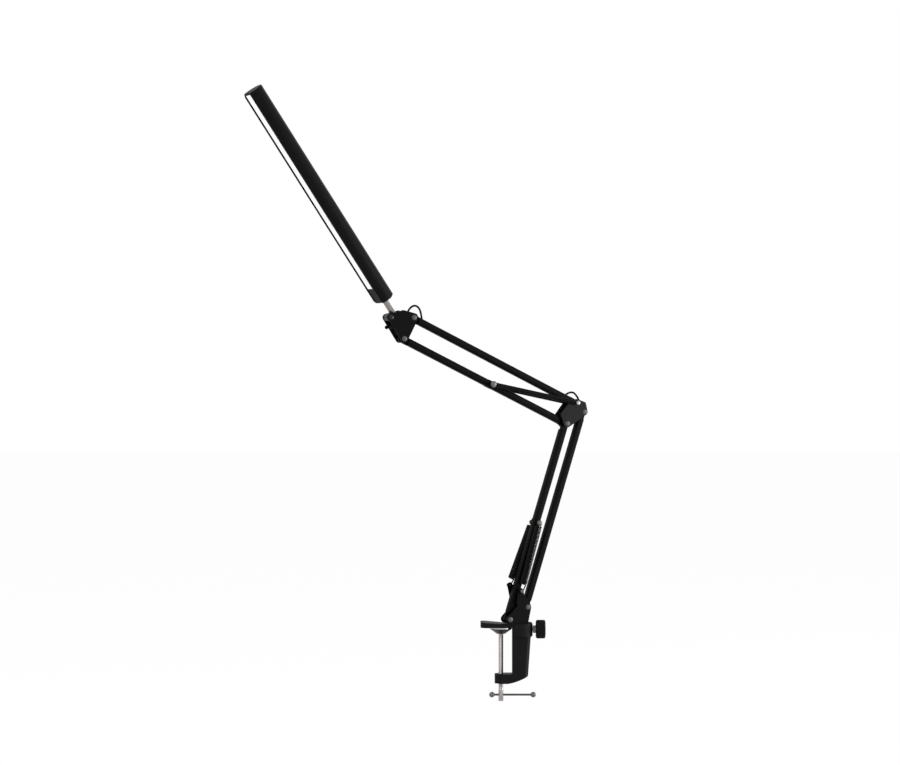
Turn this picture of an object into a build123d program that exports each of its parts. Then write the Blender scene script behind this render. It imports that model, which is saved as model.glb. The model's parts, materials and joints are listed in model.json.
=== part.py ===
"""Spring-balanced desk lamp with a bar head, two parallelogram arms and a table clamp.

Millimetres, +Z up. The origin is on the clamp screw's axis, at the underside of the upper jaw, where
the table top sits. The clamp lies along X. The arms lie in one upright plane, turned about the post.
"""
import os
from math import cos, pi, radians, sin, sqrt, tan

from build123d import *

os.makedirs("parts", exist_ok=True)

# Arm linkage: pivots in the arm plane, as (reach, height) from the post's axis
post_reach = 28.5
arm_turn = 27.0
front_base = (-22.0, 12.2)
base_link = 33.0
base_link_angle = 29.8
lower_arm = 291.6
lower_arm_angle = 71.4
elbow_link = 33.1
elbow_link_angle = 63.0
upper_arm = 285.2
upper_arm_angle = 155.3
tilt_link = 35.3
tilt_link_angle = 180.0

# Arm tubes, with ends pressed flat round the pivots
tube_diameter = 10.0
tube_wall = 1.0
tongue_width = 11.0
tongue_thickness = 2.4
tongue_length = 9.0
press_length = 5.0
press_inset = 0.1
press_overlap = 1.0
tongue_shift = 1.4

# Pivot pins, spacers and their fits
pin_diameter = 4.0
running_gap = 0.05
side_gap = 0.2
pin_head_diameter = 8.0
pin_head_height = 2.0
spacer_diameter = 9.0
spacer_sides = 8

# Stamped brackets: the clear width between each pair of plates
sheet = 1.5
base_inner = 16.0
elbow_inner = 15.0
head_inner = 15.0
bracket_foot = 5.8
base_lobe = 5.5
base_rear_lobe = 4.8
base_corner = 3.0
base_front_corner = (-20.0, 8.8)
base_rear_corner = (4.0, 8.8)
base_crown = (3.0, 37.0)
base_crown_radius = 5.0
ear_root = (-5.0, 36.0)
ear_root_radius = 7.0
ear_radius = 4.0
web_half_length = 12.0
elbow_lobe = 5.5
elbow_top_lobe = 5.5
elbow_rear_lobe = 4.5
elbow_corner_radius = 3.0
elbow_front_corner = (-10.5, -2.2)
elbow_rear_corner = (12.5, -1.7)
elbow_cheek = (-7.4, 12.5)
tilt_lobe = 5.1
head_upper_lobe = 6.0
head_lower_lobe = 5.5
head_crown = (-16.7, 4.8)
head_crown_radius = 5.2
head_tab = (-34.4, -13.7)
head_tab_radius = 2.6

# Open coil springs beside the lower arm
near_ear = (-5.3, 52.3)
far_ear = (-13.2, 59.5)
spring_depth = 11.3
stud_diameter = 3.0
stud_head_diameter = 5.0
stud_head_height = 1.5
anchor_head_diameter = 7.0
anchor_head_height = 2.0
lower_anchor = 143.0
coil_diameter = 10.4
coil_wire = 1.8
coil_turns = 13
coil_end = 10.0
hook_gap = 0.3

# Close-wound springs beside the upper arm
upper_anchor = 134.4
close_depth = 13.0
close_diameter = 6.6
close_wire = 1.4
close_low_end = 9.0
close_high_end = 9.0
anchor_length = 9.0
anchor_wall = 1.2

# Clamp frame
jaw_thickness = 5.5
jaw_tip = -29.0
jaw_tip_thickness = 8.0
jaw_slope_end = 1.0
jaw_width = 36.0
jaw_corner = 10.0
jaw_root = 30.0
column_left = 15.9
column_right = 42.4
column_foot_right = 38.3
column_width = 24.0
column_chamfer = 4.0
column_shoulder = -9.0
column_foot = -68.6
lower_jaw_top = -65.9
lower_jaw_bottom = -79.5
lower_jaw_curve = (25.0, -75.3)
lower_jaw_flat = 10.0
boss_diameter = 18.0
hub_diameter = 33.0
hub_bottom = -14.0
hub_bevel = 2.0

# Swivel post
post_diameter = 12.0
post_bottom = -30.0
post_chamfer = 1.0
bore_bottom_gap = 1.0

# Clamp screw, pressure foot and tommy bar
screw_diameter = 7.0
screw_end = -104.7
foot_diameter = 30.8
foot_rim = 2.3
foot_cone = 6.9
foot_hub_diameter = 12.0
foot_roof = 3.0
seat_gap = 0.3
tommy_height = -96.0
tommy_diameter = 3.0
tommy_middle = 16.5
tommy_span = 58.6
tommy_ball_diameter = 8.0
tommy_ball_bevel = 2.0

# Lock screw that grips the post
lock_height = -3.0
lock_diameter = 6.0
lock_collar_diameter = 11.0
lock_collar_length = 4.2
knob_diameter = 26.5
knob_length = 13.6
knob_gap = 0.3
knob_seat = 8.0
knob_flutes = 12
knob_flute_diameter = 3.4

# Lamp head
head_angle = 125.2
head_length = 342.0
bar_diameter = 29.0
bar_flat = 22.0
bar_wall = 1.6
neck_length = 29.0
rod_diameter = 8.0
rod_seat = 4.0
knuckle_diameter = 12.0
knuckle_thickness = 11.0
knuckle_hub_diameter = 8.0
neck_offset = (10.6, 0.0)
tip_cap_length = 3.0
tip_cap_bevel = 1.0
neck_cap_length = 4.5
neck_cap_bevel = 2.0
slot_width = 14.0
slot_gap = 0.2
flange_width = 18.0
flange_thickness = 1.2
blank_length = 10.4
board_width = 10.0
board_thickness = 1.2
chip_count = 24
chip_size = 2.8
chip_height = 0.8

# Cable across two pivots: clips and hand-picked routes, from the upper head pin and the top elbow pin
cable_diameter = 2.8
cable_sides = 6
cable_clip_diameter = 5.0
head_clip = (-11.5, 0.7)
elbow_clip = (12.6, -4.2)
head_route = [
    (-10.3, 3.2),
    (-7.0, 10.0),
    (-1.0, 15.6),
    (6.0, 17.0),
    (11.6, 13.6),
    (14.6, 7.0),
    (15.6, -0.4),
]
elbow_route = [
    (-15.5, 14.0),
    (-10.5, 14.9),
    (-5.0, 14.2),
    (0.2, 11.2),
    (4.8, 6.6),
    (8.6, 2.0),
    (11.0, -1.6),
]
arc_share = 0.45

# Planes and pivots that follow from these
post_axis = (post_reach, 0)
arm_plane = Plane(
    origin=(post_reach, 0, 0),
    x_dir=(cos(radians(arm_turn)), sin(radians(arm_turn)), 0),
    z_dir=(sin(radians(arm_turn)), -cos(radians(arm_turn)), 0),
)
tube_radius = tube_diameter / 2
hole_radius = pin_diameter / 2 + running_gap
half_tongue = tongue_thickness / 2


def step(point, length, angle):
    """The point at a length and an angle from another, in the arm plane."""
    return (point[0] + length * cos(radians(angle)), point[1] + length * sin(radians(angle)))


def shifted(point, offset):
    """A point of the arm plane moved by an offset."""
    return (point[0] + offset[0], point[1] + offset[1])


def arm_at(point, depth=0.0):
    """A point of the arm plane, at a depth towards the near side, in the lamp's frame."""
    return arm_plane.from_local_coords(Vector(point[0], point[1], depth))


def arm_direction(angle):
    """The unit direction at an angle in the arm plane, in the lamp's frame."""
    return arm_at((cos(radians(angle)), sin(radians(angle)))) - arm_at((0, 0))


def save(builder, name):
    """Label a finished piece and write it."""
    builder.part.label = name
    export_step(builder.part, f"parts/{name}.step")


rear_base = step(front_base, base_link, base_link_angle)
elbow = step(front_base, lower_arm, lower_arm_angle)
rear_elbow = step(rear_base, lower_arm, lower_arm_angle)
top_elbow = step(elbow, elbow_link, elbow_link_angle)
lower_head = step(elbow, upper_arm, upper_arm_angle)
upper_head = step(top_elbow, upper_arm, upper_arm_angle)
tilt = step(upper_head, tilt_link, tilt_link_angle)


# Arm tubes
def arm_tube(name, start, angle, length, start_shift=0.0, end_shift=0.0):
    """A round tube between two pivots, pressed to a flat tongue round each pin hole."""
    end = step(start, length, angle)
    end_length = tongue_length + press_length
    with BuildPart() as tube:
        first = arm_at(step(start, end_length, angle))
        section = Plane(first, x_dir=arm_plane.z_dir, z_dir=arm_direction(angle))
        with BuildSketch(section):
            Circle(tube_radius)
        extrude(amount=length - 2 * end_length)
        for pivot, way, shift in ((start, angle, start_shift), (end, angle + 180, end_shift)):
            inward = arm_direction(way + 180)
            seam = arm_plane.z_dir * (-1 if shift < 0 else 1)
            round_end = arm_at(step(pivot, end_length, way))
            flat_end = arm_at(step(pivot, tongue_length, way), shift)
            with BuildSketch(Plane(round_end, x_dir=seam, z_dir=inward)) as round_section:
                Circle(tube_radius)
            with BuildSketch(Plane(flat_end, x_dir=seam, z_dir=inward)) as flat_section:
                Ellipse(half_tongue - press_inset, tongue_width / 2 - press_inset)
            loft(sections=[round_section.sketch, flat_section.sketch], ruled=True)
            with BuildSketch(arm_plane.offset(shift - half_tongue)):
                with Locations(pivot):
                    Circle(tongue_width / 2)
                with Locations(step(pivot, (tongue_length + press_overlap) / 2, way)):
                    Rectangle(tongue_length + press_overlap, tongue_width, rotation=way)
                with Locations(pivot):
                    Circle(hole_radius, mode=Mode.SUBTRACT)
            extrude(amount=tongue_thickness)
        with BuildSketch(section):
            Circle(tube_radius - tube_wall)
        extrude(amount=length - 2 * end_length, mode=Mode.SUBTRACT)
    save(tube, name)


arm_tube("lower_front_tube", front_base, lower_arm_angle, lower_arm, end_shift=tongue_shift)
arm_tube("lower_rear_tube", rear_base, lower_arm_angle, lower_arm)
arm_tube("upper_top_tube", top_elbow, upper_arm_angle, upper_arm)
arm_tube("upper_bottom_tube", elbow, upper_arm_angle, upper_arm, start_shift=-tongue_shift)


# Pivot pins
def arm_pin(name, pivot, inner, overhang=0.0):
    """A pin through both plates, with a head on each side and room for a spring hook."""
    outside = inner / 2 + sheet + overhang
    with BuildPart() as pin:
        with BuildSketch(arm_plane.offset(-outside)):
            with Locations(pivot):
                Circle(pin_diameter / 2)
        extrude(amount=2 * outside)
        for side in (-1, 1):
            with BuildSketch(arm_plane.offset(side * outside)):
                with Locations(pivot):
                    Circle(pin_head_diameter / 2)
            extrude(amount=side * pin_head_height)
    save(pin, name)


hook_room = close_depth + close_wire / 2 + hook_gap - elbow_inner / 2 - sheet
arm_pin("base_front_pin", front_base, base_inner)
arm_pin("base_rear_pin", rear_base, base_inner)
arm_pin("elbow_pin", elbow, elbow_inner)
arm_pin("elbow_rear_pin", rear_elbow, elbow_inner)
arm_pin("elbow_top_pin", top_elbow, elbow_inner, overhang=hook_room)
arm_pin("head_upper_pin", upper_head, head_inner)
arm_pin("head_lower_pin", lower_head, head_inner)
arm_pin("tilt_bolt", tilt, head_inner)


# Spacers that centre the tongues between the plates
def spacers(name, stacks, inner):
    """A spacer on each side of each pin's tongues, out to the plates."""
    with BuildPart() as group:
        for pivot, reach in stacks:
            for side in (-1, 1):
                with BuildSketch(arm_plane.offset(side * inner / 2)):
                    with Locations(pivot):
                        RegularPolygon(spacer_diameter / 2, spacer_sides)
                        Circle(hole_radius, mode=Mode.SUBTRACT)
                extrude(amount=-side * (inner / 2 - reach - side_gap))
    save(group, name)


double_tongue = tongue_shift + half_tongue
spacers("base_spacers", [(front_base, half_tongue), (rear_base, half_tongue)], base_inner)
elbow_stacks = [(elbow, double_tongue), (rear_elbow, half_tongue), (top_elbow, half_tongue)]
spacers("elbow_spacers", elbow_stacks, elbow_inner)
spacers("head_spacers", [(upper_head, half_tongue), (lower_head, half_tongue)], head_inner)


# Bracket plates
def hull_of(discs):
    """Add the hull of discs, each (centre, radius), to the open sketch."""
    with BuildSketch(mode=Mode.PRIVATE) as hull:
        for centre, radius in discs:
            with Locations(centre):
                Circle(radius)
        make_hull()
    add(hull.sketch)


def plate_pair(name, discs, pivots, inner, tabs=()):
    """The near and far plates of a bracket, each its own piece, with round tabs on their edge."""
    for side, label in ((1, "near"), (-1, "far")):
        with BuildPart() as plate:
            with BuildSketch(arm_plane.offset(side * inner / 2)):
                hull_of(discs)
                for centre, radius in tabs:
                    with Locations(centre):
                        Circle(radius)
                for pivot in pivots:
                    with Locations(pivot):
                        Circle(hole_radius, mode=Mode.SUBTRACT)
            extrude(amount=side * sheet)
        save(plate, f"{name}_{label}")


elbow_discs = [
    (elbow, elbow_lobe),
    (rear_elbow, elbow_rear_lobe),
    (top_elbow, elbow_top_lobe),
    (shifted(top_elbow, elbow_front_corner), elbow_corner_radius),
    (shifted(top_elbow, elbow_rear_corner), elbow_corner_radius),
    (shifted(elbow, elbow_cheek), elbow_corner_radius),
]
plate_pair("elbow_plate", elbow_discs, [elbow, rear_elbow, top_elbow], elbow_inner)

head_discs = [
    (tilt, tilt_lobe),
    (upper_head, head_upper_lobe),
    (lower_head, head_lower_lobe),
    (shifted(upper_head, head_crown), head_crown_radius),
]
stop_tabs = [(shifted(upper_head, head_tab), head_tab_radius)]
plate_pair("head_plate", head_discs, [tilt, upper_head, lower_head], head_inner, stop_tabs)

# Base bracket: one stamped U, whose uneven ears carry the spring studs
base_discs = [
    (front_base, base_lobe),
    (rear_base, base_rear_lobe),
    (base_front_corner, base_corner),
    (base_rear_corner, base_corner),
    (base_crown, base_crown_radius),
]
with BuildPart() as base_bracket:
    for side, ear in ((1, near_ear), (-1, far_ear)):
        with BuildSketch(arm_plane.offset(side * base_inner / 2)):
            hull_of(base_discs)
            hull_of([(ear, ear_radius), (ear_root, ear_root_radius)])
            for pivot in (front_base, rear_base):
                with Locations(pivot):
                    Circle(hole_radius, mode=Mode.SUBTRACT)
            with Locations(ear):
                Circle(stud_diameter / 2 + running_gap, mode=Mode.SUBTRACT)
        extrude(amount=side * sheet)
    with BuildSketch(arm_plane.offset(-base_inner / 2 - sheet)):
        with Locations((0, bracket_foot + sheet / 2)):
            Rectangle(2 * web_half_length, sheet)
    extrude(amount=base_inner + 2 * sheet)
save(base_bracket, "base_bracket")

# Swivel post under the bracket
with BuildPart() as base_post:
    with BuildSketch(Plane.XY.offset(bracket_foot)):
        with Locations(post_axis):
            Circle(post_diameter / 2)
    extrude(amount=post_bottom - bracket_foot)
    chamfer(base_post.faces().sort_by(Axis.Z)[0].edges(), length=post_chamfer)
save(base_post, "base_post")


# Spring studs on the ears
def spring_stud(name, ear, side):
    """A stud riveted in an ear, with a head that keeps the spring's hook on."""
    root = base_inner / 2
    tip = spring_depth + coil_wire / 2 + hook_gap
    with BuildPart() as stud:
        with BuildSketch(arm_plane.offset(side * root)):
            with Locations(ear):
                Circle(stud_diameter / 2)
        extrude(amount=side * (tip - root))
        with BuildSketch(arm_plane.offset(side * tip)):
            with Locations(ear):
                Circle(stud_head_diameter / 2)
        extrude(amount=side * stud_head_height)
    save(stud, name)


spring_stud("spring_stud_near", near_ear, 1)
spring_stud("spring_stud_far", far_ear, -1)


# Anchor bands on the tubes
def anchor(name, start, angle, distance, depth, wire):
    """A band round a tube with a headed stud on each side. Returns the studs' place."""
    centre = step(start, distance, angle)
    tip = depth + wire / 2 + hook_gap
    back = arm_at(step(start, distance - anchor_length / 2, angle))
    section = Plane(back, x_dir=arm_plane.z_dir, z_dir=arm_direction(angle))
    with BuildPart() as band:
        with BuildSketch(section):
            Circle(tube_radius + anchor_wall)
        extrude(amount=anchor_length)
        for side in (-1, 1):
            with BuildSketch(arm_plane):
                with Locations(centre):
                    Circle(stud_diameter / 2)
            extrude(amount=side * tip)
            with BuildSketch(arm_plane.offset(side * tip)):
                with Locations(centre):
                    Circle(anchor_head_diameter / 2)
            extrude(amount=side * anchor_head_height)
        with BuildSketch(section):
            Circle(tube_radius + running_gap)
        extrude(amount=anchor_length, mode=Mode.SUBTRACT)
    save(band, name)
    return centre


lower_hook = anchor(
    "lower_spring_anchor", front_base, lower_arm_angle, lower_anchor, spring_depth, coil_wire
)
upper_hook = anchor(
    "upper_spring_anchor", elbow, upper_arm_angle, upper_anchor, close_depth, close_wire
)


# Springs
def biarc(start, start_way, end, end_way):
    """Two tangent arcs from a point and direction to another point and direction."""
    gap = end - start
    lean = 2 * (1 - start_way.dot(end_way))
    reach = gap.dot(start_way + end_way)
    length = (sqrt(reach**2 + lean * gap.dot(gap)) - reach) / lean
    first = start + start_way * length
    second = end - end_way * length
    middle = (first + second) * 0.5
    TangentArc(start, middle, tangent=start_way)
    TangentArc(middle, end, tangent=(second - first).normalized())


def hook(centre, along, across, radius, closing):
    """Half a ring round a stud, from its open end to its root, or back where it ends the wire."""
    open_end = centre - across * radius
    crown = centre - along * radius
    root = centre + across * radius
    if closing:
        ThreePointArc(root, crown, open_end)
    else:
        ThreePointArc(open_end, crown, root)
    return root


def coil_spring(name, low, high, depth):
    """An open coil between two studs, hooked half round each: one unbroken wire."""
    bottom = arm_at(low, depth)
    top = arm_at(high, depth)
    along = (top - bottom).normalized()
    across = along.cross(arm_plane.z_dir)
    facing = along.cross(across)
    hook_radius = stud_diameter / 2 + hook_gap + coil_wire / 2
    coil_radius = (coil_diameter - coil_wire) / 2
    coil_length = (top - bottom).length - 2 * coil_end
    climb = coil_length / (2 * pi * coil_turns)

    def helix(turn):
        """The point and direction on the helix at a count of turns from its foot."""
        angle = 2 * pi * turn
        spoke = across * cos(angle) + facing * sin(angle)
        swing = facing * cos(angle) - across * sin(angle)
        point = bottom + spoke * coil_radius + along * (coil_end + climb * angle)
        return point, (swing * coil_radius + along * climb).normalized()

    with BuildPart() as spring:
        with BuildLine() as path:
            root = hook(bottom, along, across, hook_radius, closing=False)
            foot = root + along * coil_wire
            Line(root, foot)
            point, way = helix(0)
            biarc(foot, along, point, way)
            for quarter in range(1, 4 * coil_turns + 1):
                next_point, next_way = helix(quarter / 4)
                biarc(point, way, next_point, next_way)
                point, way = next_point, next_way
            top_root = top + across * hook_radius
            neck = top_root - along * coil_wire
            biarc(point, way, neck, along)
            Line(neck, top_root)
            hook(top, -along, across, hook_radius, closing=True)
        wire = path.wires()[0]
        with BuildSketch(Plane(wire @ 0, z_dir=wire % 0)):
            RegularPolygon(coil_wire / 2, 4)
        sweep(path=wire)
    save(spring, name)
    turn_points = [helix(count / 24)[0] for count in range(24 * coil_turns + 1)]
    nearest = min(
        (one - other).length
        for index, one in enumerate(turn_points)
        for other in turn_points[index + 12 :]
    )
    print(f"{name}: least gap to itself {nearest - coil_wire:.2f} mm, {spring.part.volume:.0f} mm3")


coil_spring("lower_spring_near", near_ear, lower_hook, spring_depth)
coil_spring("lower_spring_far", far_ear, lower_hook, -spring_depth)


def close_spring(name, low, high, depth):
    """A close-wound spring, whose touching turns read as one round body, with a hook at each end."""
    bottom = arm_at(low, depth)
    top = arm_at(high, depth)
    along = (top - bottom).normalized()
    across = along.cross(arm_plane.z_dir)
    ends = (
        (bottom, along, close_low_end, stud_diameter / 2),
        (top, -along, close_high_end, pin_diameter / 2),
    )
    with BuildPart() as spring:
        with BuildSketch(Plane(bottom + along * close_low_end, z_dir=along)):
            Circle(close_diameter / 2)
        extrude(amount=(top - bottom).length - close_low_end - close_high_end)
        for centre, way, reach, stud in ends:
            hook_radius = stud + hook_gap + close_wire / 2
            with BuildLine() as path:
                root = hook(centre, way, across, hook_radius, closing=False)
                FilletPolyline(
                    root,
                    root + way * (hook_radius + close_wire),
                    centre + way * (reach - close_wire),
                    centre + way * (reach + close_wire),
                    radius=close_wire,
                )
            wire = path.wires()[0]
            with BuildSketch(Plane(wire @ 0, z_dir=wire % 0)):
                RegularPolygon(close_wire / 2, 6)
            sweep(path=wire)
    save(spring, name)


close_spring("upper_spring_near", upper_hook, top_elbow, close_depth)
close_spring("upper_spring_far", upper_hook, top_elbow, -close_depth)


# Cable loops and the clips that hold them
def clip(name, centre, inner):
    """A round bar between two plates that the cable is fixed to."""
    with BuildPart() as bar:
        with BuildSketch(arm_plane.offset(-inner / 2)):
            with Locations(centre):
                Circle(cable_clip_diameter / 2)
        extrude(amount=inner)
    save(bar, name)


def cable(name, pivot, route):
    """A round cable along a route beside a pivot, with each bend as wide as its two runs allow."""
    points = [arm_at(shifted(pivot, offset)) for offset in route]
    runs = [end - start for start, end in zip(points, points[1:])]
    radii = [
        arc_share * min(one.length, two.length) / tan(radians(one.get_angle(two) / 2))
        for one, two in zip(runs, runs[1:])
    ]
    with BuildPart() as cord:
        with BuildLine() as path:
            FilletPolyline(*points, radius=radii)
        wire = path.wires()[0]
        with BuildSketch(Plane(wire @ 0, z_dir=wire % 0)) as section:
            RegularPolygon(cable_diameter / 2, cable_sides)
        sweep(path=wire)
    save(cord, name)
    expected = wire.length * section.sketch.area
    listed = ", ".join(f"{radius:.1f}" for radius in radii)
    print(f"{name}: {wire.length:.1f} mm long, radii {listed}")
    print(f"{name}: volume {cord.part.volume:.1f} of {expected:.1f} mm3")


clip("head_cable_clip", shifted(upper_head, head_clip), head_inner)
clip("elbow_cable_clip", shifted(top_elbow, elbow_clip), elbow_inner)
cable("head_cable", upper_head, head_route)
cable("elbow_cable", top_elbow, elbow_route)

# Clamp frame: upper jaw, post socket, column and lower jaw in one casting
jaw_half = jaw_width / 2
column_half = column_width / 2
jaw_discs = [
    ((jaw_tip + jaw_corner, jaw_half - jaw_corner), jaw_corner),
    ((jaw_tip + jaw_corner, jaw_corner - jaw_half), jaw_corner),
    ((jaw_root, column_half / 2), column_half / 2),
    ((jaw_root, -column_half / 2), column_half / 2),
]
hub_radius = hub_diameter / 2
hub_right = post_reach + hub_radius
with BuildPart() as clamp_frame:
    with BuildSketch(Plane.XZ):
        with BuildLine():
            Polyline(
                (lower_jaw_flat, lower_jaw_bottom),
                (0, lower_jaw_bottom),
                (0, lower_jaw_top),
                (column_left, lower_jaw_top),
                (column_left, jaw_thickness),
                (column_right, jaw_thickness),
                (column_right, column_shoulder),
                (column_foot_right, column_foot),
            )
            ThreePointArc(
                (column_foot_right, column_foot), lower_jaw_curve, (lower_jaw_flat, lower_jaw_bottom)
            )
        make_face()
    extrude(amount=column_half, both=True)
    back_edges = clamp_frame.edges().filter_by(
        lambda edge: edge.center().X > column_foot_right - column_chamfer
        and abs(edge.center().Y) > column_half - column_chamfer
    )
    chamfer(back_edges, length=column_chamfer)
    with BuildSketch(Plane.XY):
        hull_of(jaw_discs)
    extrude(amount=jaw_tip_thickness)
    with BuildSketch(Plane.XZ):
        with BuildLine():
            Polyline(
                (jaw_tip, jaw_tip_thickness),
                (jaw_slope_end, jaw_thickness),
                (column_right, jaw_thickness),
                (column_right, jaw_tip_thickness),
                close=True,
            )
        make_face()
    extrude(amount=jaw_half, both=True, mode=Mode.SUBTRACT)
    with BuildSketch(Plane.XZ):
        with BuildLine():
            Polyline(
                (post_reach, hub_bottom),
                (hub_right - hub_bevel, hub_bottom),
                (hub_right, hub_bottom + hub_bevel),
                (hub_right, jaw_thickness),
                (post_reach, jaw_thickness),
                close=True,
            )
        make_face()
    revolve(axis=Axis((post_reach, 0, 0), (0, 0, 1)))
    with BuildSketch(Plane.XY):
        with Locations((column_left - hub_radius, 0)):
            Rectangle(2 * hub_radius, hub_diameter)
    extrude(amount=hub_bottom, mode=Mode.SUBTRACT)
    with BuildSketch(Plane.XY.offset(lower_jaw_bottom)):
        Circle(boss_diameter / 2)
    extrude(amount=lower_jaw_top - lower_jaw_bottom)
    lock_plane = Plane(origin=(column_right, 0, lock_height), x_dir=(0, 1, 0), z_dir=(1, 0, 0))
    with BuildSketch(Plane.XY.offset(jaw_thickness)):
        with Locations(post_axis):
            Circle(post_diameter / 2 + running_gap)
    extrude(amount=post_bottom - bore_bottom_gap - jaw_thickness, mode=Mode.SUBTRACT)
    with BuildSketch(lock_plane.offset(post_reach - column_right)):
        Circle(lock_diameter / 2 + running_gap)
    extrude(amount=hub_radius, mode=Mode.SUBTRACT)
    with BuildSketch(Plane.XY.offset(lower_jaw_bottom)):
        Circle(screw_diameter / 2 + running_gap)
    extrude(amount=lower_jaw_top - lower_jaw_bottom, mode=Mode.SUBTRACT)
save(clamp_frame, "clamp_frame")

# Pressure foot: a dished disc on the screw's tip
foot_top = -seat_gap
screw_bore = screw_diameter / 2 + running_gap
with BuildPart() as pressure_foot:
    with BuildSketch(Plane.XZ):
        with BuildLine():
            Polyline(
                (0, foot_top),
                (foot_diameter / 2, foot_top),
                (foot_diameter / 2, foot_top - foot_rim),
                (foot_hub_diameter / 2, foot_top - foot_rim - foot_cone),
                (screw_bore, foot_top - foot_rim - foot_cone),
                (screw_bore, foot_top - foot_roof),
                (0, foot_top - foot_roof),
                close=True,
            )
        make_face()
    revolve(axis=Axis.Z)
save(pressure_foot, "pressure_foot")

# Clamp screw with a cross hole for the tommy bar
screw_top = foot_top - foot_roof - seat_gap
tommy_plane = Plane(origin=(tommy_middle, 0, tommy_height), x_dir=(0, 1, 0), z_dir=(1, 0, 0))
with BuildPart() as clamp_screw:
    with BuildSketch(Plane.XY.offset(screw_end)):
        Circle(screw_diameter / 2)
    extrude(amount=screw_top - screw_end)
    with BuildSketch(tommy_plane.offset(-tommy_middle)):
        Circle(tommy_diameter / 2 + running_gap)
    extrude(amount=screw_diameter, both=True, mode=Mode.SUBTRACT)
save(clamp_screw, "clamp_screw")

with BuildPart() as tommy_bar:
    with BuildSketch(tommy_plane):
        Circle(tommy_diameter / 2)
    extrude(amount=tommy_span / 2, both=True)
save(tommy_bar, "tommy_bar")

with BuildPart() as tommy_balls:
    for side in (-1, 1):
        ball_plane = tommy_plane.offset(side * tommy_span / 2)
        with BuildSketch(ball_plane):
            Circle(tommy_ball_diameter / 2)
        extrude(amount=tommy_ball_diameter / 2, both=True)
    chamfer(tommy_balls.edges(), length=tommy_ball_bevel)
    with BuildSketch(tommy_plane):
        Circle(tommy_diameter / 2 + running_gap)
    extrude(amount=tommy_span / 2 + running_gap, both=True, mode=Mode.SUBTRACT)
save(tommy_balls, "tommy_balls")

# Lock screw and its fluted knob
collar_start = hub_right + knob_gap
knob_start = collar_start + lock_collar_length
lock_tip = post_reach + post_diameter / 2 + seat_gap
with BuildPart() as lock_screw:
    with BuildSketch(lock_plane.offset(lock_tip - column_right)):
        Circle(lock_diameter / 2)
    extrude(amount=knob_start + knob_seat - lock_tip)
    with BuildSketch(lock_plane.offset(collar_start - column_right)):
        Circle(lock_collar_diameter / 2)
    extrude(amount=lock_collar_length)
save(lock_screw, "lock_screw")

with BuildPart() as lock_knob:
    with BuildSketch(lock_plane.offset(knob_start - column_right)):
        Circle(knob_diameter / 2)
        with PolarLocations(knob_diameter / 2, knob_flutes):
            Circle(knob_flute_diameter / 2, mode=Mode.SUBTRACT)
    extrude(amount=knob_length)
    with BuildSketch(lock_plane.offset(knob_start - column_right)):
        Circle(lock_diameter / 2 + running_gap)
    extrude(amount=knob_seat + running_gap, mode=Mode.SUBTRACT)
save(lock_knob, "lock_knob")

# Neck: a knuckle on the tilt bolt, and beside it a bright rod that the head turns on
neck_root = shifted(tilt, neck_offset)
neck_end = step(neck_root, neck_length, head_angle)
head_plane = Plane(arm_at(neck_end), x_dir=arm_plane.z_dir, z_dir=arm_direction(head_angle))
rod_start = hole_radius + bar_wall
with BuildPart() as neck_knuckle:
    with BuildSketch(arm_plane.offset(-knuckle_thickness / 2)):
        hull_of([(tilt, tilt_lobe), (neck_root, knuckle_diameter / 2)])
    extrude(amount=knuckle_thickness)
    with BuildSketch(arm_plane.offset(seat_gap - head_inner / 2)):
        with Locations(tilt):
            Circle(knuckle_hub_diameter / 2)
    extrude(amount=head_inner - 2 * seat_gap)
    with BuildSketch(arm_plane.offset(-head_inner / 2)):
        with Locations(tilt):
            Circle(hole_radius)
    extrude(amount=head_inner, mode=Mode.SUBTRACT)
    with BuildSketch(head_plane.offset(rod_start - neck_length)):
        Circle(rod_diameter / 2 + running_gap)
    extrude(amount=knuckle_diameter, mode=Mode.SUBTRACT)
save(neck_knuckle, "neck_knuckle")

with BuildPart() as neck_rod:
    with BuildSketch(head_plane.offset(rod_start + running_gap - neck_length)):
        Circle(rod_diameter / 2)
    extrude(amount=neck_length - rod_start - running_gap + rod_seat)
save(neck_rod, "neck_rod")

# Head: a round bar with one flat, which faces down and holds the diffuser
bar_radius = bar_diameter / 2
flat_offset = sqrt(bar_radius**2 - (bar_flat / 2) ** 2)
flat_inside = flat_offset - bar_wall
bar_end = head_length - tip_cap_length


def flatted(radius, offset):
    """Add a disc with one flat at an offset below its centre to the open sketch."""
    Circle(radius)
    with Locations((0, -offset - radius)):
        Rectangle(2 * radius, 2 * radius, mode=Mode.SUBTRACT)


with BuildPart() as head_housing:
    with BuildSketch(head_plane.offset(neck_cap_length)):
        flatted(bar_radius, flat_offset)
    extrude(amount=bar_end - neck_cap_length)
    with BuildSketch(head_plane.offset(neck_cap_length)):
        flatted(bar_radius - bar_wall, flat_inside)
        with Locations((0, bar_wall / 2)):
            Rectangle(bar_diameter, bar_wall, mode=Mode.SUBTRACT)
    extrude(amount=bar_end - neck_cap_length, mode=Mode.SUBTRACT)
    with BuildSketch(head_plane.offset(neck_cap_length)):
        with Locations((0, -flat_offset)):
            Rectangle(slot_width, 2 * bar_wall)
    extrude(amount=bar_end - neck_cap_length, mode=Mode.SUBTRACT)
save(head_housing, "head_housing")

with BuildPart() as tip_cap:
    with BuildSketch(head_plane.offset(bar_end)):
        flatted(bar_radius, flat_offset)
    extrude(amount=tip_cap_length)
    chamfer(tip_cap.faces().sort_by(Axis(arm_at(neck_end), head_plane.z_dir))[-1].edges(), tip_cap_bevel)
save(tip_cap, "tip_cap")

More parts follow.
